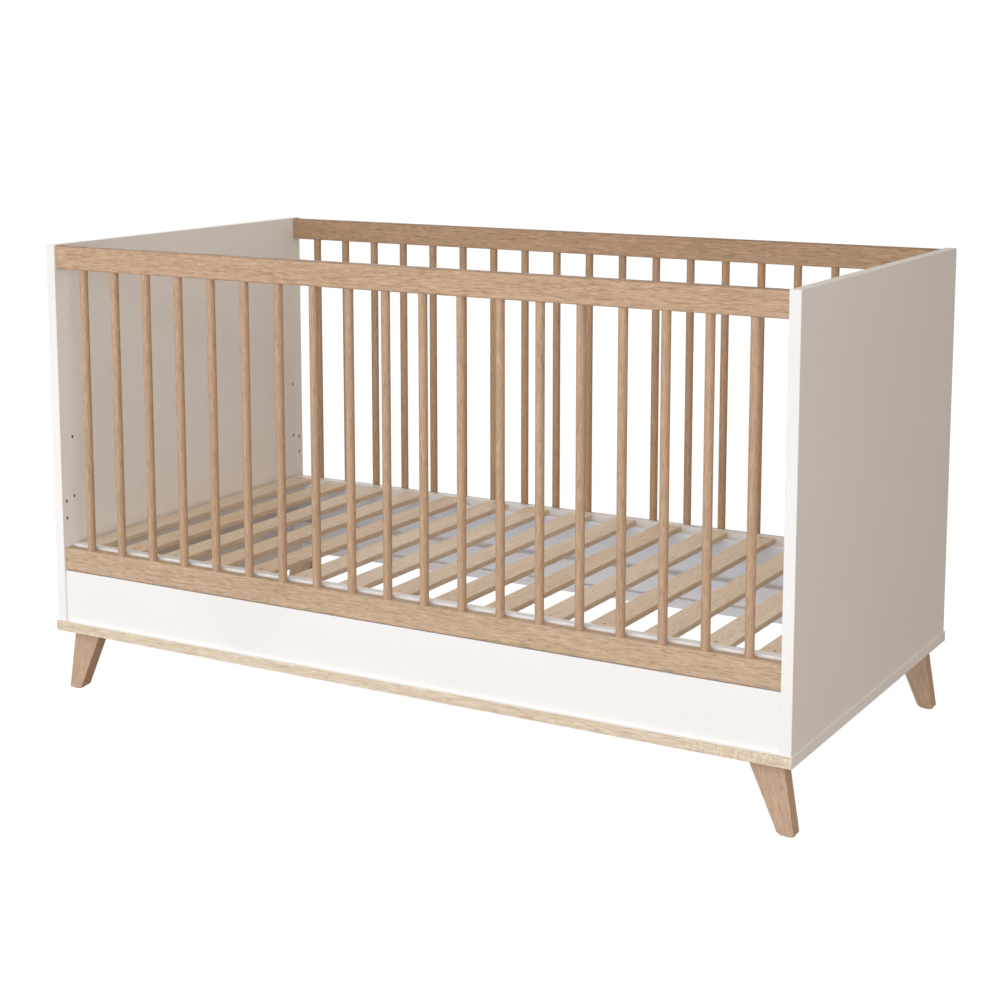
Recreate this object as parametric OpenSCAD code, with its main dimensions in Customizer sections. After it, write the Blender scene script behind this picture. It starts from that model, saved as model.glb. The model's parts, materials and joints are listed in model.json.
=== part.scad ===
// Cot bed for a 1400 x 700 mattress: two end panels on a splayed-leg plinth, spindle sides
// and a slatted base that bolts at three heights.
// Origin: on the floor under the middle of the cot. +X along the length, front side at -Y, +Z up.

/* [Mattress] */
// Length of the mattress
mattress_l = 1400; // [1200:10:1500]
// Width of the mattress
mattress_w = 700; // [600:10:750]

/* [End panels] */
// Thickness of the end panels
panel_t = 19; // [18:1:22]
// Height of the end panels above the plinth
panel_h = 698; // [660:1:760]

/* [Side rails and spindles] */
// Height of each oak rail
rail_h = 42; // [36:1:50]
// Thickness of the rails and aprons
rail_t = 19; // [19:1:24]
// How far the rails stand back from the end panels' edges
rail_set = 4; // [2:0.5:8]
// How far the top rails lie below the top of the end panels
rail_drop = 2; // [0:0.5:6]
// Bevel along the rails' long edges
rail_bevel = 1.6; // [0.8:0.1:2.4]
// Diameter of the spindles
spindle_d = 15; // [12:0.5:16]
// Number of spindles in each side
spindle_n = 19; // [17:1:21]
// Distance from an end panel to the middle of the first spindle
spindle_end = 56; // [50:1:62]
// Depth that the spindles go into the rails
spindle_seat = 12; // [8:1:15]

/* [Aprons and plinth] */
// Height of the aprons under the bottom rails
apron_h = 96; // [80:1:110]
// Shadow gap between apron and bottom rail
apron_gap = 1; // [0.5:0.5:2]
// Thickness of the plinth boards
plinth_t = 18; // [16:1:22]
// Width of the plinth boards without their edging
plinth_w = 49; // [48:1:60]
// Plinth overhang in front of and behind the end panels
lip_front = 3; // [1:0.5:6]
// Plinth overhang outside each end panel
lip_side = 2; // [1:0.5:6]
// Thickness of the oak edging on the plinth
edging_t = 2; // [1:0.5:3]
// Height of the battens inside the aprons
batten_h = 44; // [36:1:46]
// Thickness of the battens inside the aprons
batten_t = 16; // [14:1:18]

/* [Legs] */
// Height of the legs from floor to plinth, with their glides
leg_h = 118; // [90:1:140]
// Width of a leg at the plinth
leg_top_w = 60; // [52:1:64]
// Width of a leg at the floor
leg_foot_w = 26; // [22:1:32]
// How far the outer edge of a leg leans outwards
leg_lean = 19; // [8:1:24]
// Thickness of a leg, front to back
leg_t = 25; // [22:1:30]
// Distance from the plinth's end to the top of a leg
leg_inset_x = 23; // [20:1:30]
// Distance from the plinth's front edge to a leg
leg_inset_y = 26; // [20:1:30]
// Diameter of the glides
glide_d = 18; // [14:1:20]
// Thickness of the glides
glide_t = 2; // [1:0.5:4]

/* [Mattress base] */
// Height of the top of the base at its lowest setting
base_top = 279; // [270:1:290]
// Distance between two settings of the base
level_step = 111; // [96:1:120]
// Number of settings
level_n = 3; // [2:1:3]
// Height of the base's long rails
base_rail_h = 50; // [46:1:54]
// Thickness of the base's rails
base_rail_t = 16; // [15:1:18]
// Height of the cleats that carry the slats
cleat_h = 34; // [28:1:38]
// Thickness of the cleats
cleat_t = 18; // [14:1:22]
// Number of slats
slat_n = 15; // [13:1:17]
// Width of a slat
slat_w = 48; // [40:1:54]
// Thickness of a slat
slat_t = 10; // [8:1:12]
// Distance from the end of the base to the first slat
slat_end = 3; // [0:0.5:6]

/* [Fittings] */
// Diameter of the holes in the end panels and of their pins
pin_d = 6; // [5:0.5:7]
// Depth of the holes in the end panels
hole_depth = 12; // [10:1:13]
// Distance of the guard rail holes from the end panels' edges
guard_hole_in = 12; // [10:0.5:16]
// Height of the upper guard rail holes above the floor
guard_hole_z = 361; // [340:1:380]
// Distance between two guard rail holes
guard_hole_step = 32; // [32:1:40]

/* [Hidden] */
$fn = 48;

// Cutters reach this far past the faces that they cut
cut = 1;

// Overall lines of the cot
base_gap_x = 2.5;
base_gap_y = 1.5;
inner_l = mattress_l + 2 * base_gap_x;
inner_w = mattress_w + 2 * base_gap_y;
half_in_x = inner_l / 2;
half_in_y = inner_w / 2;
half_panel_x = half_in_x + panel_t;
half_panel_y = half_in_y + rail_t + rail_set;
half_plinth_x = half_panel_x + lip_side;
half_plinth_y = half_panel_y + lip_front;
half_board_y = half_plinth_y - edging_t;
rail_mid_y = half_in_y + rail_t / 2;
plinth_top = leg_h + plinth_t;
cot_top = plinth_top + panel_h;
apron_top = plinth_top + apron_h;
bottom_rail_z = apron_top + apron_gap;
top_rail_z = cot_top - rail_drop - rail_h;
spindle_pitch = (inner_l - 2 * spindle_end) / (spindle_n - 1);

// Legs
leg_edge_x = half_plinth_x - leg_inset_x;
leg_face_y = half_plinth_y - leg_inset_y;
leg_mid_y = leg_face_y - leg_t / 2;
leg_len = leg_h - glide_t;
leg_chamfer_w = 5;
leg_chamfer_h = 4;
leg_corner = 2;
glide_shift = 1.5;
leg_bolt_r = 4;
leg_bolt_hold = 30;
leg_bolt_rise = 14;
leg_bolt_in = [12, 36];

// Mattress base
half_base_x = mattress_l / 2;
half_base_y = mattress_w / 2;
base_low = base_top - base_rail_h;
slat_low = base_top - slat_t;
base_clear = 0.5;
half_slat = half_base_y - base_rail_t - base_clear;
slat_pitch = (mattress_l - slat_w - 2 * slat_end) / (slat_n - 1);
half_cleat_y = half_base_y - base_rail_t - cleat_t;
end_rail_in = 7;
end_rail_x = half_base_x - slat_end - slat_w + end_rail_in;

// Support pins and the row of holes above them
pin_y = half_base_y - base_rail_t / 2;
pin_below = 23;
pin_z = base_top - pin_below;
pin_out = 16;
pin_play = 0.3;
pin_gap = 0.1;
pin_end_gap = 1;
pin_slot_spare = 2;
fit_play = 0.05;

// Cam fittings that join rails and aprons to the end panels
cam_r = 7.5;
cam_depth = 13;
cam_in = 24;
cam_bolt_r = 3;
cam_bolt_head_r = 3.5;
cam_head_in = 4;
cam_head_out = 3;
cam_thread_r = 2.5;
cam_thread_len = 11;
cam_offset = 10;
cam_lock_play = 0.1;
apron_dowel_up = 15;
dowel_r = 4;
dowel_len = 30;

// Screws
screw_r = 2;
screw_head_r = 4;
screw_head_h = 3;
slat_screw_r = 1.5;
slat_screw_head_r = 3.2;
slat_screw_head_h = 2;
slat_screw_len = 28;
slat_screw_y = half_cleat_y + cleat_t / 2;
plinth_screw_len = 48;
plinth_screw_x = [for (f = [-0.85, -0.43, 0, 0.43, 0.85]) f * half_in_x];
plinth_screw_y = [for (f = [-0.7, 0, 0.7]) f * half_in_y];
batten_screw_len = 30;
batten_screw_x = [for (f = [-0.8, -0.3, 0.3, 0.8]) f * half_in_x];
cleat_screw_len = 28;
cleat_screw_drop = 0.7 * cleat_h;
cleat_screw_every = 3;
corner_screw_len = 62;
corner_screw_z = [12, 28];

// Colours
WHITE = [0.95, 0.95, 0.94];
OAK = [0.77, 0.65, 0.53];
PALE_OAK = [0.87, 0.80, 0.72];
SLAT_WOOD = [0.76, 0.66, 0.53];
STEEL = [0.70, 0.70, 0.72];
BRASS = [0.62, 0.50, 0.36];
BEECH = [0.80, 0.68, 0.52];
GREY = [0.35, 0.34, 0.33];

function slat_name(i) = str("slat_", i < 10 ? "0" : "", i);

// ---- shared shapes ----

// Box from its lowest corner to its highest corner
module block(low, high) {
    translate(low) cube(high - low);
}

// Cylinder along +X, starting at p
module rod_x(p, r, l) {
    translate(p) rotate([0, 90, 0]) cylinder(r = r, h = l);
}

// Cylinder along +Y, starting at p
module rod_y(p, r, l) {
    translate(p) rotate([-90, 0, 0]) cylinder(r = r, h = l);
}

// Cylinder along +Z, starting at p
module rod_z(p, r, l) {
    translate(p) cylinder(r = r, h = l);
}

// Children at both ends of the cot
module both_ends() {
    children();
    mirror([1, 0, 0]) children();
}

// Children at the front and the rear
module both_sides() {
    children();
    mirror([0, 1, 0]) children();
}

// Countersunk screw pointing along +Z with its head's face at z = 0
module screw(r, head_r, head_h, l, play = 0) {
    cylinder(r1 = head_r + play, r2 = r + play, h = head_h);
    cylinder(r = r + play, h = l + play);
}

// ---- where the fittings go ----

// Heights of the cam bolt and the dowel in a board that starts at z and is h high
function cam_z(z, h) = z + h / 2 - min(cam_offset, h / 4);
function dowel_z(z, h) = z + h / 2 + min(cam_offset, h / 4) + (h > rail_h ? apron_dowel_up : 0);

// Every rail and apron as [middle in y, lowest z, height]
JOINED = [for (s = [-1, 1], b = [[top_rail_z, rail_h], [bottom_rail_z, rail_h], [plinth_top, apron_h]])
    [s * rail_mid_y, b[0], b[1]]];

// Bolts of the cam fittings at the +X end; play widens them into their bores
module cam_bolts_at_end(play = 0) {
    for (b = JOINED) {
        z = cam_z(b[1], b[2]);
        rod_x([half_in_x, b[0], z], cam_thread_r + play, cam_thread_len + play);
        rod_x([half_in_x - cam_in + cam_head_in, b[0], z], cam_bolt_r + play, cam_in - cam_head_in);
        rod_x([half_in_x - cam_in - cam_head_out, b[0], z], cam_bolt_head_r + play,
            cam_head_in + cam_head_out);
    }
}

// Dowels at the +X end, half in the rail and half in the panel
module dowels_at_end(play = 0) {
    for (b = JOINED) {
        rod_x([half_in_x - dowel_len + hole_depth - play, b[0], dowel_z(b[1], b[2])],
            dowel_r + play, dowel_len + 2 * play);
    }
}

// Pockets for the cam locks, open to the rear of each board
module cam_pockets(play = 0) {
    for (b = JOINED) {
        rod_y([half_in_x - cam_in, b[0] + rail_t / 2 - cam_depth - play, cam_z(b[1], b[2])],
            cam_r + play, cam_depth + 2 * play);
    }
}

// Everything that is drilled into a rail or an apron
module board_fittings() {
    both_ends() {
        cam_bolts_at_end(fit_play);
        dowels_at_end(fit_play);
        cam_pockets(fit_play);
    }
}

// Spindle centres along x
function spindle_x(i) = -half_in_x + spindle_end + i * spindle_pitch;

// Screws that come up through the plinth into the aprons and the end panels
module plinth_screw_set(play = 0) {
    for (x = plinth_screw_x, s = [-1, 1]) {
        translate([x, s * rail_mid_y, leg_h - (play > 0 ? play : 0)])
            screw(screw_r, screw_head_r, screw_head_h, plinth_screw_len, play);
    }
    for (y = plinth_screw_y, s = [-1, 1]) {
        translate([s * (half_in_x + panel_t / 2), y, leg_h - (play > 0 ? play : 0)])
            screw(screw_r, screw_head_r, screw_head_h, plinth_screw_len, play);
    }
}

// Screws from the battens into the aprons
module batten_screw_set(play = 0) {
    both_sides()
        for (x = batten_screw_x)
            translate([x, half_in_y - batten_t - play, plinth_top + batten_h / 2])
                rotate([-90, 0, 0])
                    screw(screw_r, screw_head_r, screw_head_h, batten_screw_len, play);
}

// Bolts that hold the legs under the plinth
module leg_bolt_set(play = 0) {
    both_ends() both_sides()
        for (dx = leg_bolt_in)
            rod_z([leg_edge_x - dx, leg_mid_y, leg_h - leg_bolt_hold - play],
                leg_bolt_r + play, leg_bolt_hold + leg_bolt_rise + 2 * play);
}

// Screws through the slats into the cleats
module slat_screw_set(play = 0) {
    both_sides()
        for (i = [1:slat_n])
            translate([slat_x(i), slat_screw_y, base_top + play])
                rotate([180, 0, 0])
                    screw(slat_screw_r, slat_screw_head_r, slat_screw_head_h, slat_screw_len, play);
}

// Screws from the cleats into the base's long rails, between the slats
module cleat_screw_set(play = 0) {
    both_ends() both_sides()
        for (i = [1:cleat_screw_every:floor(slat_n / 2)])
            translate([slat_x(i) + slat_pitch / 2, half_cleat_y - play, slat_low - cleat_screw_drop])
                rotate([-90, 0, 0])
                    screw(screw_r, screw_head_r, screw_head_h, cleat_screw_len, play);
}

// Screws through the base's long rails and cleats into its end rails
module corner_screw_set(play = 0) {
    both_ends() both_sides()
        for (dz = corner_screw_z)
            translate([end_rail_x + base_rail_t / 2, half_base_y + play, base_low + dz])
                rotate([90, 0, 0])
                    screw(screw_r, screw_head_r, screw_head_h, corner_screw_len, play);
}

// ---- end panels ----

// Panel at the +X end, with its holes in the inner face
module end_panel() {
    color(WHITE) difference() {
        block([half_in_x, -half_panel_y, plinth_top], [half_panel_x, half_panel_y, cot_top]);
        both_sides() {
            for (i = [0:level_n - 1])
                rod_x([half_in_x - cut, pin_y, pin_z + i * level_step], pin_d / 2, hole_depth + cut);
            for (i = [0, 1])
                rod_x([half_in_x - cut, half_panel_y - guard_hole_in, guard_hole_z - i * guard_hole_step],
                    pin_d / 2, hole_depth + cut);
        }
        cam_bolts_at_end(fit_play);
        dowels_at_end(fit_play);
        plinth_screw_set(fit_play);
    }
}

// ---- rails, spindles and aprons ----

// Oak rail with bevelled long edges; the spindle holes face up or down
module rail(mid_y, z, holes_up) {
    half_t = rail_t / 2;
    b = rail_bevel;
    color(OAK) difference() {
        translate([-half_in_x, mid_y, z])
            rotate([90, 0, 90])
                linear_extrude(inner_l)
                    polygon([
                        [b - half_t, 0], [half_t - b, 0], [half_t, b], [half_t, rail_h - b],
                        [half_t - b, rail_h], [b - half_t, rail_h], [-half_t, rail_h - b], [-half_t, b]
                    ]);
        for (i = [0:spindle_n - 1])
            rod_z([spindle_x(i), mid_y, holes_up ? z + rail_h - spindle_seat : z - cut],
                spindle_d / 2 + fit_play, spindle_seat + cut);
        board_fittings();
    }
}

// All the spindles of one side
module spindles(mid_y) {
    z0 = bottom_rail_z + rail_h - spindle_seat;
    color(OAK)
        for (i = [0:spindle_n - 1])
            rod_z([spindle_x(i), mid_y, z0], spindle_d / 2, top_rail_z + spindle_seat - z0);
}

// White board between plinth and bottom rail
module apron(mid_y) {
    color(WHITE) difference() {
        block([-half_in_x, mid_y - rail_t / 2, plinth_top], [half_in_x, mid_y + rail_t / 2, apron_top]);
        board_fittings();
        plinth_screw_set(fit_play);
        batten_screw_set(fit_play);
    }
}

// Batten in the corner between the rear apron and the plinth
module batten() {
    color(WHITE) difference() {
        block([-half_in_x, half_in_y - batten_t, plinth_top], [half_in_x, half_in_y, plinth_top + batten_h]);
        batten_screw_set(fit_play);
    }
}

// ---- plinth ----

// Mitred rear board
module long_plinth_board() {
    color(WHITE) difference() {
        translate([0, 0, leg_h])
            linear_extrude(plinth_t)
                polygon([
                    [-half_plinth_x, half_board_y], [half_plinth_x, half_board_y],
                    [half_plinth_x - plinth_w, half_board_y - plinth_w],
                    [plinth_w - half_plinth_x, half_board_y - plinth_w]
                ]);
        plinth_screw_set(fit_play);
        leg_bolt_set(fit_play);
    }
}

// Mitred board at the +X end
module end_plinth_board() {
    color(WHITE) difference() {
        translate([0, 0, leg_h])
            linear_extrude(plinth_t)
                polygon([
                    [half_plinth_x, -half_board_y], [half_plinth_x, half_board_y],
                    [half_plinth_x - plinth_w, half_board_y - plinth_w],
                    [half_plinth_x - plinth_w, plinth_w - half_board_y]
                ]);
        plinth_screw_set(fit_play);
        leg_bolt_set(fit_play);
    }
}

// Oak strip along the rear of the plinth
module edging() {
    color(PALE_OAK)
        block([-half_plinth_x, half_board_y, leg_h], [half_plinth_x, half_plinth_y, plinth_top]);
}

// ---- legs ----

// Tapered leg at the rear right, leaning outwards, with a cut corner at its foot
module leg() {
    foot_edge_x = leg_edge_x + leg_lean;
    foot_in_x = foot_edge_x - leg_foot_w;
    slope_in = (foot_in_x - (leg_edge_x - leg_top_w)) / leg_len;
    slope_out = leg_lean / leg_len;
    color(OAK) difference() {
        translate([0, leg_face_y, glide_t])
            rotate([90, 0, 0])
                linear_extrude(leg_t)
                    polygon([
                        [leg_edge_x - leg_top_w, leg_len], [leg_edge_x, leg_len],
                        [foot_edge_x - slope_out * leg_corner, leg_corner], [foot_edge_x - leg_corner, 0],
                        [foot_in_x + leg_chamfer_w, 0], [foot_in_x - slope_in * leg_chamfer_h, leg_chamfer_h]
                    ]);
        leg_bolt_set(fit_play);
    }
}

module leg_glides() {
    mid_x = leg_edge_x + leg_lean - leg_foot_w / 2 + glide_shift;
    color(GREY)
        both_ends() both_sides() rod_z([mid_x, leg_mid_y, 0], glide_d / 2, glide_t);
}

module leg_bolts() {
    color(STEEL) leg_bolt_set();
}

// ---- fittings of the fixed frame ----

module cam_bolts() {
    color(STEEL) both_ends() cam_bolts_at_end();
}

// Cam locks with a cross slot, bored for the bolts that they pull in
module cam_locks() {
    slot_w = 1.6;
    slot_l = 9;
    slot_depth = 2;
    color(STEEL) both_ends() difference() {
        cam_pockets();
        cam_bolts_at_end(cam_lock_play);
        for (b = JOINED, turn = [0, 90])
            translate([half_in_x - cam_in, b[0] + rail_t / 2, cam_z(b[1], b[2])])
                rotate([0, turn, 0])
                    cube([slot_l, 2 * slot_depth, slot_w], center = true);
    }
}

module wood_dowels() {
    color(BEECH) both_ends() dowels_at_end();
}

module plinth_screws() {
    color(STEEL) plinth_screw_set();
}

module batten_screws() {
    color(STEEL) batten_screw_set();
}

// Pins in the lowest holes, on which the base rests
module support_pins() {
    color(STEEL)
        both_ends() both_sides()
            rod_x([half_in_x - pin_out, pin_y, pin_z], pin_d / 2 - fit_play,
                pin_out + hole_depth - pin_end_gap);
}

// ---- mattress base ----

// Rear long rail, with slots under its ends that drop over the support pins
module base_long_rail() {
    slot_r = pin_d / 2 + pin_play;
    slot_l = pin_out + pin_slot_spare;
    slot_top = pin_z + pin_d / 2 - slot_r + pin_gap;
    color(WHITE) difference() {
        block([-half_base_x, half_base_y - base_rail_t, base_low], [half_base_x, half_base_y, base_top]);
        both_ends() {
            rod_x([half_base_x - slot_l, pin_y, slot_top], slot_r, slot_l + cut);
            block([half_base_x - slot_l, pin_y - slot_r, base_low - cut],
                [half_base_x + cut, pin_y + slot_r, slot_top]);
        }
        cleat_screw_set(fit_play);
        corner_screw_set(fit_play);
    }
}

// End rail at the +X end, under the last slat and between the cleats
module base_end_rail() {
    color(WHITE) difference() {
        block([end_rail_x, -half_cleat_y, base_low], [end_rail_x + base_rail_t, half_cleat_y, slat_low]);
        corner_screw_set(fit_play);
    }
}

// Rear cleat under the slats' ends
module base_cleat() {
    color(WHITE) difference() {
        block([-half_base_x, half_cleat_y, slat_low - cleat_h],
            [half_base_x, half_cleat_y + cleat_t, slat_low]);
        cleat_screw_set(fit_play);
        corner_screw_set(fit_play);
        slat_screw_set(fit_play);
    }
}

function slat_x(i) = -half_base_x + slat_end + slat_w / 2 + (i - 1) * slat_pitch;

module slat(i) {
    color(SLAT_WOOD) difference() {
        block([slat_x(i) - slat_w / 2, -half_slat, slat_low], [slat_x(i) + slat_w / 2, half_slat, base_top]);
        both_sides()
            translate([slat_x(i), slat_screw_y, base_top + fit_play])
                rotate([180, 0, 0])
                    screw(slat_screw_r, slat_screw_head_r, slat_screw_head_h, slat_screw_len, fit_play);
    }
}

module slat_screws() {
    color(BRASS) slat_screw_set();
}

module cleat_screws() {
    color(STEEL) cleat_screw_set();
}

module base_corner_screws() {
    color(STEEL) corner_screw_set();
}

// ---- the assembly ----

mirror([1, 0, 0]) end_panel();  // left_panel
end_panel();  // right_panel
rail(-rail_mid_y, top_rail_z, false);  // front_top_rail
rail(-rail_mid_y, bottom_rail_z, true);  // front_bottom_rail
rail(rail_mid_y, top_rail_z, false);  // rear_top_rail
rail(rail_mid_y, bottom_rail_z, true);  // rear_bottom_rail
spindles(-rail_mid_y);  // front_spindles
spindles(rail_mid_y);  // rear_spindles
apron(-rail_mid_y);  // front_apron
apron(rail_mid_y);  // rear_apron
mirror([0, 1, 0]) batten();  // front_batten
batten();  // rear_batten
mirror([0, 1, 0]) long_plinth_board();  // front_plinth
long_plinth_board();  // rear_plinth
mirror([1, 0, 0]) end_plinth_board();  // left_plinth
end_plinth_board();  // right_plinth
mirror([0, 1, 0]) edging();  // front_edging
edging();  // rear_edging
mirror([1, 0, 0]) mirror([0, 1, 0]) leg();  // front_left_leg
mirror([0, 1, 0]) leg();  // front_right_leg
mirror([1, 0, 0]) leg();  // rear_left_leg
leg();  // rear_right_leg
leg_glides();
leg_bolts();
cam_bolts();
cam_locks();
wood_dowels();
plinth_screws();
batten_screws();
support_pins();
mirror([0, 1, 0]) base_long_rail();  // base_front_rail
base_long_rail();  // base_rear_rail
mirror([1, 0, 0]) base_end_rail();  // base_left_rail
base_end_rail();  // base_right_rail
mirror([0, 1, 0]) base_cleat();  // base_front_cleat
base_cleat();  // base_rear_cleat
slat_screws();
cleat_screws();
base_corner_screws();
for (i = [1:slat_n]) slat(i);
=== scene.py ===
import json
import math

import bmesh
import bpy
from mathutils import Euler, Matrix, Vector
from mathutils.geometry import tessellate_polygon

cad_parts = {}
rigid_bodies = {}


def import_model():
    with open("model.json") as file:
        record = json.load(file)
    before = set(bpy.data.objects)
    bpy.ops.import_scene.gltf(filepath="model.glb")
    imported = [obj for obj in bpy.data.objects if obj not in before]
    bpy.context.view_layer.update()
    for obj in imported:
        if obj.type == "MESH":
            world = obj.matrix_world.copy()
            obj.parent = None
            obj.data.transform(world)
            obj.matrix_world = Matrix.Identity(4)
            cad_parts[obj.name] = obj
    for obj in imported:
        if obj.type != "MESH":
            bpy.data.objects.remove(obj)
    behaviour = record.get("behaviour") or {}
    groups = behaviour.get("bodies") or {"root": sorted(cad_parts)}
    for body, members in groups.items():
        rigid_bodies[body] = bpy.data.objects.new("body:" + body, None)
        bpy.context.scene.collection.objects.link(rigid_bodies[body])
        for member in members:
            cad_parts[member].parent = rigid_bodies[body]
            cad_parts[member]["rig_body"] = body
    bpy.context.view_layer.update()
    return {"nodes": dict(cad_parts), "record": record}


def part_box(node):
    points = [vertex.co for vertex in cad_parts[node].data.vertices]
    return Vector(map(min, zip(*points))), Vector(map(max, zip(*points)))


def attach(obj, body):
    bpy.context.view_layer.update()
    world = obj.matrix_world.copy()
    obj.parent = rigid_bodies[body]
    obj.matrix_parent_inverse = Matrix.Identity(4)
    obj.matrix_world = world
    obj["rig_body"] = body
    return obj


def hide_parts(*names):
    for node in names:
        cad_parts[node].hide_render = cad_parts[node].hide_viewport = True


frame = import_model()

NODES = frame["nodes"]


# ---- camera ----

# Places are in metres and angles in degrees; the focal length is in sensor widths
CAMERA_PLACE = (1.7137, -2.9594, 1.1482)
CAMERA_YAW = 29.972
CAMERA_TILT = 8.339
CAMERA_FOCAL = 1.9235
CAMERA_SHIFT_Y = -0.15
CAMERA_FAR = 200.0
SENSOR = 36.0


def make_camera():
    """The photo's viewpoint; lens and place come from the fit, and the tilt keeps the lens shift small."""
    data = bpy.data.cameras.new("camera")
    data.sensor_width = SENSOR
    data.lens = SENSOR * CAMERA_FOCAL
    data.shift_y = CAMERA_SHIFT_Y
    data.clip_end = CAMERA_FAR
    camera = bpy.data.objects.new("camera", data)
    camera.location = CAMERA_PLACE
    camera.rotation_euler = Euler((math.radians(90 - CAMERA_TILT), 0, math.radians(CAMERA_YAW)))
    bpy.context.scene.collection.objects.link(camera)
    bpy.context.scene.camera = camera


# ---- light ----

AMBIENT_ABOVE = (0.53, 0.473, 0.411)
AMBIENT_BELOW = (0.21, 0.145, 0.100)
AMBIENT_SPAN = (-0.6, 0.6)
BACKDROP = (1.0, 1.0, 1.0)
SUN_COLOUR = (0.86, 0.93, 1.0)
SUN_STRENGTH = 0.95
SUN_FROM = (-0.72, 0.68, 0.14)
SUN_PLACE = (0, 0, 3)
SUN_ANGLE = 45.0
SIDE_COLOUR = (1.0, 0.87, 0.76)
SIDE_STRENGTH = 0.31
SIDE_FROM = (0.98, 0.10, 0.06)
SIDE_PLACE = (3, 0, 1)
SIDE_ANGLE = 50.0
SOFTBOX_COLOUR = (0.885, 0.925, 0.985)
SOFTBOX_POWER = 76.5
SOFTBOX_SIZE = (7.0, 2.0)
SOFTBOX_PLACE = (-0.3, -2.0, 0.75)
SOFTBOX_FACING = (0, 1, 0)
BOUNCE_COLOUR = (0.61, 0.76, 1.0)
BOUNCE_POWER = 1.05
BOUNCE_SIZE = (1.1, 0.12)
BOUNCE_PLACE = (0.05, -0.05, 0.04)
BOUNCE_FACING = (0, 0.6, 0.8)
BOUNCE_NODES = ("rear_apron", "rear_batten", "rear_plinth", "base_rear_rail", "base_rear_cleat",
                "rear_left_leg", "rear_right_leg")


def make_world():
    """White behind the object; the light that it gives is softer, and weaker from below."""
    scene = bpy.context.scene
    scene.view_settings.view_transform = "Standard"
    scene.view_settings.look = "None"
    world = bpy.data.worlds.new("studio")
    world.use_nodes = True
    scene.world = world
    tree = world.node_tree
    tree.nodes.clear()
    out = tree.nodes.new("ShaderNodeOutputWorld")
    mix = tree.nodes.new("ShaderNodeMixShader")
    path = tree.nodes.new("ShaderNodeLightPath")
    direction = tree.nodes.new("ShaderNodeTexCoord")
    split = tree.nodes.new("ShaderNodeSeparateXYZ")
    height = tree.nodes.new("ShaderNodeMapRange")
    height.inputs["From Min"].default_value, height.inputs["From Max"].default_value = AMBIENT_SPAN
    blend = tree.nodes.new("ShaderNodeMix")
    blend.data_type = "RGBA"
    blend.inputs[6].default_value = (*AMBIENT_BELOW, 1)
    blend.inputs[7].default_value = (*AMBIENT_ABOVE, 1)
    ambient = tree.nodes.new("ShaderNodeBackground")
    backdrop = tree.nodes.new("ShaderNodeBackground")
    backdrop.inputs["Color"].default_value = (*BACKDROP, 1)
    tree.links.new(direction.outputs["Generated"], split.inputs[0])
    tree.links.new(split.outputs["Z"], height.inputs["Value"])
    tree.links.new(height.outputs["Result"], blend.inputs["Factor"])
    tree.links.new(blend.outputs[2], ambient.inputs["Color"])
    tree.links.new(path.outputs["Is Camera Ray"], mix.inputs[0])
    tree.links.new(ambient.outputs[0], mix.inputs[1])
    tree.links.new(backdrop.outputs[0], mix.inputs[2])
    tree.links.new(mix.outputs[0], out.inputs[0])


def add_light(name, kind, colour, energy, place, facing):
    """A light at a place, shining along facing; a camera never sees it."""
    data = bpy.data.lights.new(name, kind)
    data.energy = energy
    data.color = colour
    light = bpy.data.objects.new(name, data)
    light.location = place
    light.rotation_euler = Vector(facing).to_track_quat("-Z", "Y").to_euler()
    light.visible_camera = False
    bpy.context.scene.collection.objects.link(light)
    return light


def add_panel(name, colour, power, place, facing, size):
    """A rectangular area light."""
    light = add_light(name, "AREA", colour, power, place, facing)
    light.data.shape = "RECTANGLE"
    light.data.size, light.data.size_y = size
    return light


def add_sun(name, colour, strength, place, comes_from, angle):
    """A distant light that comes from a direction, as soft as its angle is wide."""
    light = add_light(name, "SUN", colour, strength, place, tuple(-v for v in comes_from))
    light.data.angle = math.radians(angle)


def make_lights():
    """A wide soft box in front, two very soft suns, and the floor's cool light on the rear's low pieces."""
    add_panel("softbox", SOFTBOX_COLOUR, SOFTBOX_POWER, SOFTBOX_PLACE, SOFTBOX_FACING, SOFTBOX_SIZE)
    bounce = add_panel("bounce", BOUNCE_COLOUR, BOUNCE_POWER, BOUNCE_PLACE, BOUNCE_FACING, BOUNCE_SIZE)
    lit = bpy.data.collections.new("lit_by_bounce")
    for node in BOUNCE_NODES:
        lit.objects.link(NODES[node])
    bounce.light_linking.receiver_collection = lit
    add_sun("sun", SUN_COLOUR, SUN_STRENGTH, SUN_PLACE, SUN_FROM, SUN_ANGLE)
    add_sun("side", SIDE_COLOUR, SIDE_STRENGTH, SIDE_PLACE, SIDE_FROM, SIDE_ANGLE)


FLOOR_RADIUS = 60.0
FLOOR_SIDES = 96
FLOOR_GLOW = 0.955
FLOOR_GREY = 0.16


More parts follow.
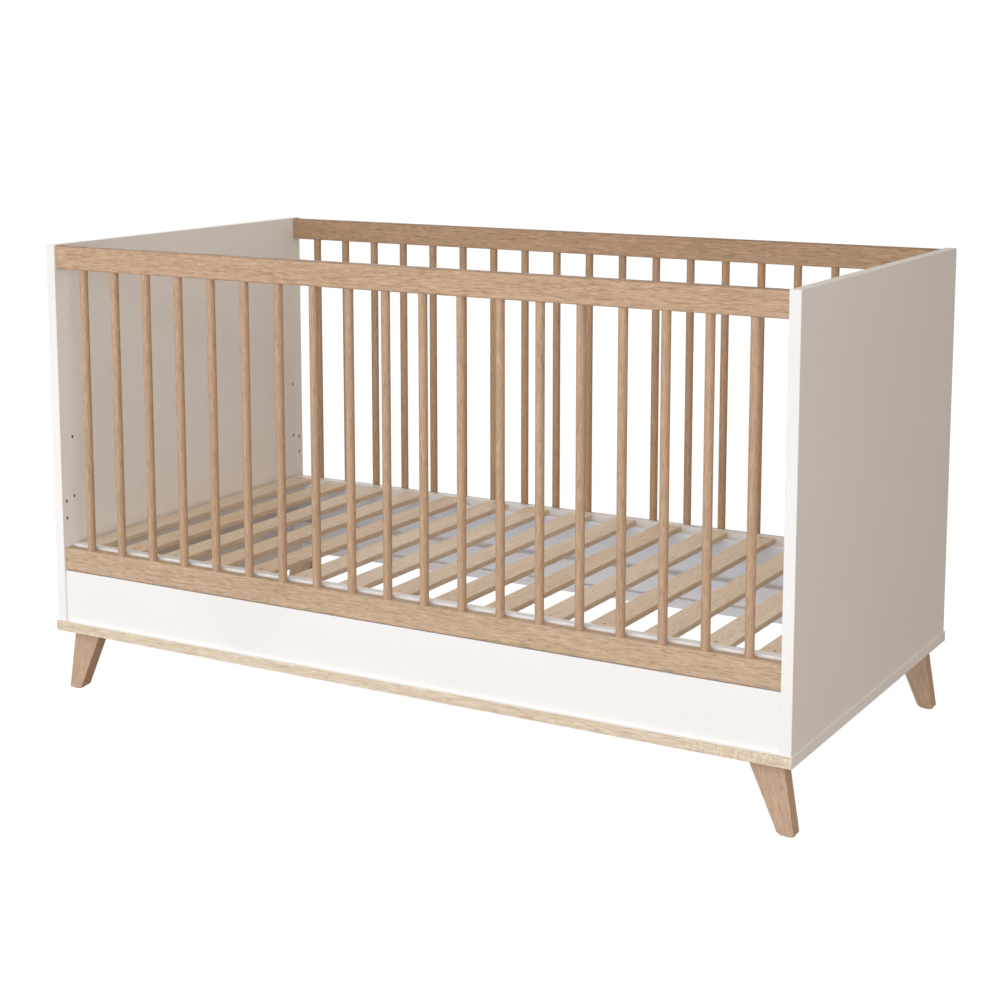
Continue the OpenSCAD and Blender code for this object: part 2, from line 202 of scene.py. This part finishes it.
def make_floor():
    """Pale floor that catches faint shadows and sends no light back up."""
    mesh = bpy.data.meshes.new("floor")
    turns = [2 * math.pi * i / FLOOR_SIDES for i in range(FLOOR_SIDES)]
    ring = [(FLOOR_RADIUS * math.cos(a), FLOOR_RADIUS * math.sin(a), 0) for a in turns]
    mesh.from_pydata(ring, [], [list(range(FLOOR_SIDES))])
    floor = bpy.data.objects.new("floor", mesh)
    bpy.context.scene.collection.objects.link(floor)
    mat = bpy.data.materials.new("floor")
    mat.use_nodes = True
    tree = mat.node_tree
    tree.nodes.clear()
    out = tree.nodes.new("ShaderNodeOutputMaterial")
    add = tree.nodes.new("ShaderNodeAddShader")
    glow = tree.nodes.new("ShaderNodeEmission")
    glow.inputs["Strength"].default_value = FLOOR_GLOW
    diffuse = tree.nodes.new("ShaderNodeBsdfDiffuse")
    diffuse.inputs["Color"].default_value = (FLOOR_GREY, FLOOR_GREY, FLOOR_GREY, 1)
    tree.links.new(glow.outputs[0], add.inputs[0])
    tree.links.new(diffuse.outputs[0], add.inputs[1])
    tree.links.new(add.outputs[0], out.inputs[0])
    mesh.materials.append(mat)
    floor.visible_diffuse = False
    floor.visible_glossy = False


# ---- materials ----

# The span in which nearly all values of a noise lie
NOISE_SPAN = (0.3, 0.7)


class Graph:
    """Nodes of one material; the methods return output sockets."""

    def __init__(self, name, roughness, specular=0.5, metallic=0.0):
        self.mat = bpy.data.materials.new(name)
        self.mat.use_nodes = True
        self.tree = self.mat.node_tree
        self.tree.nodes.clear()
        out = self.new("OutputMaterial")
        self.shader = self.new("BsdfPrincipled")
        self.shader.inputs["Roughness"].default_value = roughness
        self.shader.inputs["Specular IOR Level"].default_value = specular
        self.shader.inputs["Metallic"].default_value = metallic
        self.tree.links.new(self.shader.outputs[0], out.inputs[0])
        self.place = self.new("TexCoord").outputs["Object"]

    def new(self, kind):
        return self.tree.nodes.new("ShaderNode" + kind)

    def put(self, socket, value):
        if isinstance(value, bpy.types.NodeSocket):
            self.tree.links.new(value, socket)
        elif socket.type == "RGBA":
            socket.default_value = (*value, 1)
        else:
            socket.default_value = value

    def math(self, op, a, b=0.0):
        n = self.new("Math")
        n.operation = op
        self.put(n.inputs[0], a)
        self.put(n.inputs[1], b)
        return n.outputs[0]

    def vector(self, op, a, b=(0, 0, 0)):
        n = self.new("VectorMath")
        n.operation = op
        self.put(n.inputs[0], a)
        self.put(n.inputs[1], b)
        return n.outputs[0]

    def split(self, vector):
        n = self.new("SeparateXYZ")
        self.put(n.inputs[0], vector)
        return n.outputs

    def join(self, x, y, z):
        n = self.new("CombineXYZ")
        for socket, value in zip(n.inputs, (x, y, z)):
            self.put(socket, value)
        return n.outputs[0]

    def noise(self, vector, scale=1.0, detail=2.0, rough=0.5, output="Fac"):
        n = self.new("TexNoise")
        self.put(n.inputs["Vector"], vector)
        n.inputs["Scale"].default_value = scale
        n.inputs["Detail"].default_value = detail
        n.inputs["Roughness"].default_value = rough
        return n.outputs[output]

    def ramp(self, value, low, high, to_low=0.0, to_high=1.0):
        n = self.new("MapRange")
        n.interpolation_type = "SMOOTHSTEP"
        self.put(n.inputs["Value"], value)
        n.inputs["From Min"].default_value = low
        n.inputs["From Max"].default_value = high
        n.inputs["To Min"].default_value = to_low
        n.inputs["To Max"].default_value = to_high
        return n.outputs["Result"]

    def mix(self, share, a, b, kind="MIX"):
        n = self.new("Mix")
        n.data_type = "RGBA"
        n.blend_type = kind
        self.put(n.inputs["Factor"], share)
        self.put(n.inputs[6], a)
        self.put(n.inputs[7], b)
        return n.outputs[2]

    def shade(self, tint, share, tone):
        """Multiplies a share of the tint by a tone."""
        return self.mix(share, tint, self.vector("MULTIPLY", tint, tone))

    def rough(self, value, roughness, spread):
        """Roughness that a noise moves around its middle value, down and up by spread."""
        return self.ramp(value, *NOISE_SPAN, roughness + spread[0], roughness + spread[1])

    def finish(self, colour, rough, relief, distance, strength):
        self.put(self.shader.inputs["Base Color"], colour)
        self.put(self.shader.inputs["Roughness"], rough)
        n = self.new("Bump")
        n.inputs["Strength"].default_value = strength
        n.inputs["Distance"].default_value = distance
        self.put(n.inputs["Height"], relief)
        self.put(self.shader.inputs["Normal"], n.outputs[0])
        return self.mat


def along(axis, long, wide):
    """Scale that stretches a texture along the grain."""
    return tuple(long if name == axis else wide for name in "XYZ")


# Noises of the wood: scale along and across the grain, detail and roughness
GRAIN = {
    "drift": (6, 16, 2.0, 0.5),
    "bands": (1.4, 55, 2.0, 0.5),
    "streaks": (14, 340, 3.0, 0.6),
    "lights": (42, 400, 2.0, 0.5),
    "pores": (48, 560, 2.0, 0.55),
    "saw": (300, 75, 2.0, 0.6),
}
# The noise's value where a tone starts and where it is full, and its share there
STREAKS_DARK = (0.49, 0.68, 0.32)
STREAKS_PALE = (0.47, 0.30, 0.50)
LIGHTS_PALE = (0.52, 0.64, 0.80)
PORES_DARK = (0.54, 0.66, 0.60)
BANDS_MID = (0.34, 0.66, 0.2, 0.6)
DRIFT_REACH = 0.010
PALE_GAIN = 1.2
BOARD_SCALE = (8.5, 0.7, 0.7)
BOARD_RANGE = (0.35, 0.65)
SAW_PALE = (0.50, 0.64)
SAW_DARK = (0.44, 0.32)
SAW_DARK_SHARE = 0.4
SAW_END = (0.62, 0.74, 0.10, 1.0)
SAW_WANDER_SCALE = 6.0
SAW_WANDER_REACH = 0.3
WOOD_SPECULAR = 0.3
WOOD_RELIEF = (0.0002, 0.35)
RELIEF_SHARES = (0.5, -0.5)
WOOD_ROUGHNESS = (-0.06, 0.08)
# Heights in metres between which the painted light on the low boards fades out
PAINTED_LIGHT_HEIGHTS = (0.35, 0.70)
TOP_DEPTHS = (0.0016, 0.0004)
# Depths in metres below the slats' upper faces where the painted shade on their sides starts
PAINTED_SHADE_DEPTHS = (0.0013, 0.0007)


def grain(g, place, axis, kind, output="Fac"):
    """Noise that is stretched along the grain."""
    long, wide, detail, rough = GRAIN[kind]
    return g.noise(g.vector("MULTIPLY", place, along(axis, long, wide)), 1.0, detail, rough, output)


def wood(name, axis, tones, roughness=0.55, contrast=1.0, sawn=0.0, lean=0.0, varied=0.0,
         painted_low_light=None, top_tone=None, painted_side_shade=None):
    """Oak with growth bands, streaks and short open pores along one axis.

    sawn adds pale marks across the grain towards one end, lean tilts the grain outwards, and varied
    shifts the tone from board to board. The low tone lightens and cools the boards near the floor as
    painted light, the top tone tints the upper faces of the top rails, and the side tone darkens what lies
    below the upper faces of the slats as painted shade.
    """
    light, mid, dark = tones
    pale = tuple(min(1, v * PALE_GAIN) for v in light)
    g = Graph(name, roughness, specular=WOOD_SPECULAR)
    place = g.place
    if lean:
        x, y, z = g.split(place)
        place = g.join(g.math("ADD", g.math("ABSOLUTE", x), g.math("MULTIPLY", z, lean)), y, z)
    drift = g.vector("SUBTRACT", grain(g, place, axis, "drift", "Color"), (0.5, 0.5, 0.5))
    place = g.vector("ADD", place, g.vector("MULTIPLY", drift, along(axis, 0, DRIFT_REACH)))
    bands = grain(g, place, axis, "bands")
    streaks = grain(g, place, axis, "streaks")
    lights = g.split(grain(g, place, axis, "lights", "Color"))[1]
    pores = grain(g, place, axis, "pores")
    tint = g.mix(g.ramp(bands, *BANDS_MID), light, mid)
    layers = ((streaks, STREAKS_DARK, dark), (streaks, STREAKS_PALE, pale),
              (lights, LIGHTS_PALE, pale), (pores, PORES_DARK, dark))
    for marks, (start, full, share), tone in layers:
        tint = g.mix(g.ramp(marks, start, full, 0.0, share * contrast), tint, tone)
    if varied:
        board = g.noise(g.vector("MULTIPLY", g.place, BOARD_SCALE), 1.0, 1.0, 0.5)
        share = g.math("MULTIPLY", g.ramp(board, *BOARD_RANGE), varied)
        tint = g.mix(share, tint, mid, "MULTIPLY")
    # Painted light: boards near the floor get a lighter, cooler colour than the boards above them
    if painted_low_light:
        low = g.ramp(g.split(g.place)[2], PAINTED_LIGHT_HEIGHTS[0], PAINTED_LIGHT_HEIGHTS[1], 1.0, 0.0)
        tint = g.shade(tint, low, painted_low_light)
    if top_tone:
        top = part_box("front_top_rail")[1][2]
        crown = g.ramp(g.split(g.place)[2], top - TOP_DEPTHS[0], top - TOP_DEPTHS[1])
        tint = g.shade(tint, crown, top_tone)
    # Painted shade: the slats' sides, below their upper faces, are darkened as if shaded by the slats
    # beside them
    if painted_side_shade:
        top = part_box("slat_01")[1][2]
        below = g.ramp(g.split(g.place)[2], top - PAINTED_SHADE_DEPTHS[0], top - PAINTED_SHADE_DEPTHS[1], 1.0, 0.0)
        tint = g.shade(tint, below, painted_side_shade)
    if sawn:
        saw = grain(g, g.place, axis, "saw")
        wander = g.math("MULTIPLY", g.noise(g.place, SAW_WANDER_SCALE), SAW_WANDER_REACH)
        end = g.math("ADD", g.split(g.place)["XYZ".index(axis)], wander)
        where = g.ramp(end, *SAW_END)
        tint = g.mix(g.math("MULTIPLY", g.ramp(saw, *SAW_PALE, 0.0, sawn), where), tint, pale)
        dark_share = g.ramp(saw, *SAW_DARK, 0.0, sawn * SAW_DARK_SHARE)
        tint = g.mix(g.math("MULTIPLY", dark_share, where), tint, dark)
    rough = g.rough(streaks, roughness, WOOD_ROUGHNESS)
    relief = g.math("ADD", g.math("MULTIPLY", streaks, RELIEF_SHARES[0]),
                    g.math("MULTIPLY", pores, RELIEF_SHARES[1]))
    return g.finish(tint, rough, relief, *WOOD_RELIEF)


# Noises: scale, detail, roughness. Reliefs: distance in metres, strength. Depths are in metres.
WHITE_SPECULAR = 0.35
CLOUD = (5.0, 3.0, 0.5)
CLOUD_TONE = 0.98
WHITE_ROUGHNESS = (-0.05, 0.07)
WHITE_RELIEF = (0.00002, 0.25)
WHITE_GRAIN = (900.0, 2.0, 0.5)
CHIP_NOISE = (700.0, 3.0, 0.7)
CHIP_RANGE = (0.38, 0.62)
CHIP_TONES = ((0.20, 0.13, 0.075), (0.46, 0.34, 0.21))
BAND_TONE = (0.50, 0.46, 0.42)
BAND_SHARE = 0.25
FAR_INSIDE = 1.0
CORE_MARGIN = 0.0006
BAND_DEPTH = (0.0009, 0.0012)
CAP_DEPTH = 0.0006
# Painted light: the lighter tone of the top edge at +X
PAINTED_TOP_LIGHT = (0.990, 0.985, 0.985)
# Painted shade on the front and rear edges: heights in metres, then the shade at each height
PAINTED_END_SHADE = (0.25, 0.75, 1.0, 0.92)


def inside(g, low, high, axes="XYZ"):
    """How deep a point lies inside a box that is mirrored at both ends and at both sides of the cot."""
    depth = FAR_INSIDE
    for axis, at in zip("XYZ", g.split(g.place)):
        if axis not in axes:
            continue
        i = "XYZ".index(axis)
        if axis != "Z":
            at = g.math("ABSOLUTE", at)
        depth = g.math("MINIMUM", depth, g.math("SUBTRACT", high[i], at))
        if axis == "Z" or low[i] > 0:
            depth = g.math("MINIMUM", depth, g.math("SUBTRACT", at, low[i]))
    return depth


def white_board(name, tone, roughness, boards, banded=()):
    """White coated board: an uneven satin coat, chipboard inside the drillings, and a glued edge band.

    The boards at the other end or side of the cot share the numbers of the named ones. On banded
    boards painted shade darkens the front and rear edges towards the top, and painted light makes the
    top edge at +X lighter.
    """
    g = Graph(name, roughness, specular=WHITE_SPECULAR)
    cloud = g.noise(g.place, *CLOUD)
    coat = g.noise(g.place, *WHITE_GRAIN)
    tint = g.mix(g.ramp(cloud, *NOISE_SPAN), tone, tuple(v * CLOUD_TONE for v in tone))
    for board in banded:
        low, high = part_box(board)
        depth = inside(g, low, high, "YZ")
        line = g.math("MULTIPLY", g.math("GREATER_THAN", depth, BAND_DEPTH[0]),
                      g.math("LESS_THAN", depth, BAND_DEPTH[1]))
        tint = g.mix(g.math("MULTIPLY", line, BAND_SHARE), tint, BAND_TONE)
        x, y, z = g.split(g.place)
        # Painted shade: the front and rear edges darken towards the top
        on_end = g.math("GREATER_THAN", g.math("ABSOLUTE", y), high[1] - CAP_DEPTH)
        shade = g.ramp(z, *PAINTED_END_SHADE)
        tint = g.shade(tint, on_end, g.join(shade, shade, shade))
        # Painted light: the top edge of the board at +X is made lighter
        on_top = g.math("GREATER_THAN", z, high[2] - CAP_DEPTH)
        tint = g.mix(g.math("MULTIPLY", on_top, g.math("GREATER_THAN", x, 0.0)), tint, PAINTED_TOP_LIGHT)
    chips = g.mix(g.ramp(g.noise(g.place, *CHIP_NOISE), *CHIP_RANGE), *CHIP_TONES)
    for board in boards:
        low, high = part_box(board)
        tint = g.mix(g.math("GREATER_THAN", inside(g, low, high), CORE_MARGIN), tint, chips)
    return g.finish(tint, g.rough(coat, roughness, WHITE_ROUGHNESS), coat, *WHITE_RELIEF)


SCRATCH_SCALE = (300, 2600, 900)
SCRATCH_NOISE = (1.0, 3.0, 0.6)
STAIN_NOISE = (160.0, 3.0, 0.6)
STAIN_RANGE = (0.35, 0.7)
STAIN_TONE = 0.72
METAL_ROUGHNESS = (-0.08, 0.12)
METAL_RELIEF = (0.00004, 0.3)


def metal(name, tone, roughness):
    """Plated steel with fine scratches and dull stains."""
    g = Graph(name, roughness, metallic=1.0)
    scratches = g.noise(g.vector("MULTIPLY", g.place, SCRATCH_SCALE), *SCRATCH_NOISE)
    stain = g.noise(g.place, *STAIN_NOISE)
    tint = g.mix(g.ramp(stain, *STAIN_RANGE), tone, tuple(v * STAIN_TONE for v in tone))
    return g.finish(tint, g.rough(scratches, roughness, METAL_ROUGHNESS), scratches, *METAL_RELIEF)


PLASTIC_SPECULAR = 0.4
PLASTIC_NOISE = (1400.0, 2.0, 0.5)
PLASTIC_TONE = 0.85
PLASTIC_ROUGHNESS = (-0.06, 0.1)
PLASTIC_RELIEF = (0.00008, 0.4)


def plastic(name, tone, roughness):
    """Moulded plastic with a fine grain."""
    g = Graph(name, roughness, specular=PLASTIC_SPECULAR)
    speckle = g.noise(g.place, *PLASTIC_NOISE)
    tint = g.mix(g.ramp(speckle, *NOISE_SPAN), tone, tuple(v * PLASTIC_TONE for v in tone))
    return g.finish(tint, g.rough(speckle, roughness, PLASTIC_ROUGHNESS), speckle, *PLASTIC_RELIEF)


OAK = ((0.524, 0.357, 0.233), (0.446, 0.297, 0.184), (0.235, 0.132, 0.072))
LEG_OAK = ((0.580, 0.420, 0.295), (0.505, 0.353, 0.236), (0.285, 0.172, 0.102))
PALE_OAK = ((0.765, 0.665, 0.525), (0.640, 0.520, 0.370), (0.400, 0.275, 0.170))
SLAT_WOOD = ((0.925, 0.790, 0.635), (0.835, 0.690, 0.535), (0.530, 0.390, 0.265))
BEECH = ((0.72, 0.52, 0.34), (0.64, 0.45, 0.28), (0.42, 0.27, 0.15))

MATERIALS = {
    # banded: painted shade on both panels' front and rear edges, painted light on the right panel's top
    # edge
    "white_panel": white_board("white_panel", (0.900, 0.890, 0.875), 0.38, ("right_panel", "rear_apron"),
                               ("right_panel",)),
    "white_trim": white_board("white_trim", (0.925, 0.913, 0.897), 0.42, ()),
    "white_paint": white_board("white_paint", (0.870, 0.865, 0.860), 0.45, ("base_rear_rail",)),
    # painted light lightens and cools the low rails
    "oak_rail": wood("oak_rail", "X", OAK, contrast=0.85, painted_low_light=(1.08, 1.17, 1.23),
                     top_tone=(0.80, 0.80, 0.80)),
    "oak_spindle": wood("oak_spindle", "Z", OAK, contrast=0.65),
    "oak_leg": wood("oak_leg", "Z", LEG_OAK, contrast=0.7, lean=0.31),
    "oak_edging": wood("oak_edging", "X", PALE_OAK, 0.5, 0.75, sawn=0.5),
    # painted shade darkens the slats' sides
    "slat_wood": wood("slat_wood", "Y", SLAT_WOOD, 0.6, 0.55, varied=0.35, painted_side_shade=(0.88, 0.86, 0.84)),
    "beech_dowel": wood("beech_dowel", "X", BEECH),
    "zinc_steel": metal("zinc_steel", (0.66, 0.66, 0.68), 0.34),
    "brass_steel": metal("brass_steel", (0.52, 0.36, 0.20), 0.38),
    "glide_plastic": plastic("glide_plastic", (0.60, 0.58, 0.55), 0.55),
}


def slot_of(node):
    for part in frame["record"]["subparts"]:
        if part["node"] == node:
            return part["material_slot"]
    raise KeyError(node)


def dress(node):
    data = NODES[node].data
    data.materials.clear()
    data.materials.append(MATERIALS[slot_of(node)])


# ---- edges of the boards ----

# Width of the broken edges in metres, by kind of board
EDGES = {
    "panel": 0.0009, "rail": 0.0006, "apron": 0.0006, "batten": 0.0006, "plinth": 0.0005,
    "edging": 0.0004, "leg": 0.0007, "cleat": 0.0010, "slat": 0.0010,
}
BEVELLED_NODES = ("front_top_rail", "front_bottom_rail", "rear_top_rail", "rear_bottom_rail")
WELD_GAP = 0.000002
FLAT_ANGLE = 0.5
EDGE_ANGLE = 40.0
EDGE_STEPS = 2
SKIN = 0.00002


def edge_width(node):
    """Width of a board's broken edges, or nothing where the edges are already bevelled."""
    if node in BEVELLED_NODES:
        return None
    kind = "slat" if node[-2:].isdigit() else node.split("_")[-1]
    return EDGES.get(kind)


def mark_outline(obj, node):
    """Gathers the vertices on the board's outer edges in a group, so that only those edges are broken."""
    low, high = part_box(node)
    group = obj.vertex_groups.new(name="outline")
    for v in obj.data.vertices:
        on_side = [min(abs(v.co[i] - low[i]), abs(v.co[i] - high[i])) < SKIN for i in range(3)]
        if sum(on_side) > 1:
            group.add([v.index], 1.0, "REPLACE")
    return group.name


def round_edges(node, width):
    """Breaks the sharp edges of a board, drawn as faces that catch the light."""
    obj = NODES[node]
    weld = obj.modifiers.new("weld", "WELD")
    weld.merge_threshold = WELD_GAP
    flat = obj.modifiers.new("flat", "DECIMATE")
    flat.decimate_type = "DISSOLVE"
    flat.angle_limit = math.radians(FLAT_ANGLE)
    bevel = obj.modifiers.new("bevel", "BEVEL")
    bevel.width = width
    bevel.segments = EDGE_STEPS
    bevel.use_clamp_overlap = False
    if node.endswith("leg"):
        bevel.limit_method = "ANGLE"
        bevel.angle_limit = math.radians(EDGE_ANGLE)
    else:
        bevel.limit_method = "VGROUP"
        bevel.vertex_group = mark_outline(obj, node)
    rims = obj.modifiers.new("rims", "EDGE_SPLIT")
    rims.split_angle = math.radians(EDGE_ANGLE)
    normals = obj.modifiers.new("normals", "WEIGHTED_NORMAL")
    normals.keep_sharp = True


def new_piece(name, mesh, node):
    """Adds a piece that stands for a CAD node, on its body and with its material."""
    piece = bpy.data.objects.new(name, mesh)
    bpy.context.scene.collection.objects.link(piece)
    mesh.materials.append(MATERIALS[slot_of(node)])
    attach(piece, NODES[node]["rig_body"])
    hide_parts(node)


# ---- screws ----

SCREW_NODES = ("slat_screws", "base_corner_screws", "cleat_screws", "batten_screws", "plinth_screws")
SCREW_SIDES = 28
# Recess and rim in head radii, thread depth and tip in shank radii, thread pitch in metres
RECESS_SPAN = 0.58
RECESS_ARM = 0.15
RECESS_DEPTH = 0.34
RECESS_FLOOR = (0.62, 0.8)
RIM_DROP = 0.03
THREAD_PITCH = 0.0016
THREAD_DEPTH = 0.22
TIP_TAPER = 2.5


def loose_parts(mesh):
    """Groups of vertex places, one for each separate solid of a mesh, in the order of its vertices."""
    bm = bmesh.new()
    bm.from_mesh(mesh)
    bmesh.ops.remove_doubles(bm, verts=bm.verts, dist=WELD_GAP)
    left = set(bm.verts)
    groups = []
    for first in bm.verts:
        if first not in left:
            continue
        left.remove(first)
        heap = [first]
        group = []
        while heap:
            v = heap.pop()
            group.append(v.co.copy())
            for edge in v.link_edges:
                other = edge.other_vert(v)
                if other in left:
                    left.remove(other)
                    heap.append(other)
        groups.append(group)
    bm.free()
    return groups


def screw_frame(points):
    """Place, direction, head radius, shank radius and length of a countersunk screw, from its solid."""
    low = Vector([min(p[i] for p in points) for i in range(3)])
    high = Vector([max(p[i] for p in points) for i in range(3)])
    size = high - low
    i = max(range(3), key=lambda k: size[k])
    middle = (low + high) / 2

    def reach(at):
        ring = [p for p in points if abs(p[i] - at) < SKIN]
        return max(math.hypot(*[p[k] - middle[k] for k in range(3) if k != i]) for p in ring)

    way = Vector((0, 0, 0))
    head_low = reach(low[i]) > reach(high[i])
    way[i] = 1 if head_low else -1
    head = middle.copy()
    head[i] = low[i] if head_low else high[i]
    return head, way, max(reach(low[i]), reach(high[i])), min(reach(low[i]), reach(high[i])), size[i]


def circle(r, z):
    return [(r * math.cos(2 * math.pi * k / SCREW_SIDES), r * math.sin(2 * math.pi * k / SCREW_SIDES), z)
            for k in range(SCREW_SIDES)]


def cross(span, arm, z):
    """Outline of a cross with four arms, seen from above, against the clock."""
    quarter = [(span, -arm), (span, arm), (arm, arm)]
    turns = [(1, 0), (0, 1), (-1, 0), (0, -1)]
    return [(x * c - y * s, x * s + y * c, z) for c, s in turns for x, y in quarter]


def add_ring(bm, points):
    return [bm.verts.new(p) for p in points]


def bridge(bm, a, b):
    """Faces between two rings with the same number of points."""
    n = len(a)
    for k in range(n):
        bm.faces.new((a[k], a[(k + 1) % n], b[(k + 1) % n], b[k]))


def add_screw(bm, head, way, head_r, shank_r, length):
    """Countersunk cross-head screw with a threaded shank; z runs along the screw, away from its head."""
    start = len(bm.verts)
    cone = head_r - shank_r
    rim = add_ring(bm, circle(head_r * (1 - RIM_DROP), 0))
    span = RECESS_SPAN * head_r
    arm = RECESS_ARM * head_r
    recess = add_ring(bm, cross(span, arm, 0))
    floor = add_ring(bm, cross(span * RECESS_FLOOR[0], arm * RECESS_FLOOR[1], RECESS_DEPTH * head_r))
    for a, b, c in tessellate_polygon([[v.co for v in rim], [v.co for v in recess]]):
        both = rim + recess
        bm.faces.new((both[a], both[b], both[c]))
    bridge(bm, recess, floor)
    bm.faces.new(floor)
    rings = [rim, add_ring(bm, circle(head_r, RIM_DROP * head_r)), add_ring(bm, circle(shank_r, cone))]
    steps = max(2, round((length - cone) / THREAD_PITCH))
    for k in range(1, 2 * steps):
        z = cone + (length - cone) * k / (2 * steps)
        taper = min(1.0, (length - z) / (TIP_TAPER * shank_r))
        r = shank_r * taper * (1 - THREAD_DEPTH * (k % 2))
        rings.append(add_ring(bm, circle(r, z)))
    for a, b in zip(rings, rings[1:]):
        bridge(bm, a, b)
    tip = bm.verts.new((0, 0, length))
    last = rings[-1]
    for k in range(SCREW_SIDES):
        bm.faces.new((last[k], last[(k + 1) % SCREW_SIDES], tip))
    bm.verts.ensure_lookup_table()
    turn = Vector((0, 0, 1)).rotation_difference(way).to_matrix().to_4x4()
    bmesh.ops.transform(bm, matrix=Matrix.Translation(head) @ turn, verts=bm.verts[start:])


def make_screws(node):
    """The screws of a CAD node again, with cross recesses and threads."""
    bm = bmesh.new()
    for points in loose_parts(NODES[node].data):
        add_screw(bm, *screw_frame(points))
    bmesh.ops.recalc_face_normals(bm, faces=bm.faces)
    mesh = bpy.data.meshes.new(node + "_turned")
    bm.to_mesh(mesh)
    bm.free()
    mesh.shade_smooth()
    mesh.set_sharp_from_angle(angle=math.radians(EDGE_ANGLE))
    new_piece(node + "_turned", mesh, node)


make_camera()
make_world()
make_lights()
make_floor()
for node in NODES:
    dress(node)
    if node in SCREW_NODES:
        make_screws(node)
    elif edge_width(node):
        round_edges(node, edge_width(node))
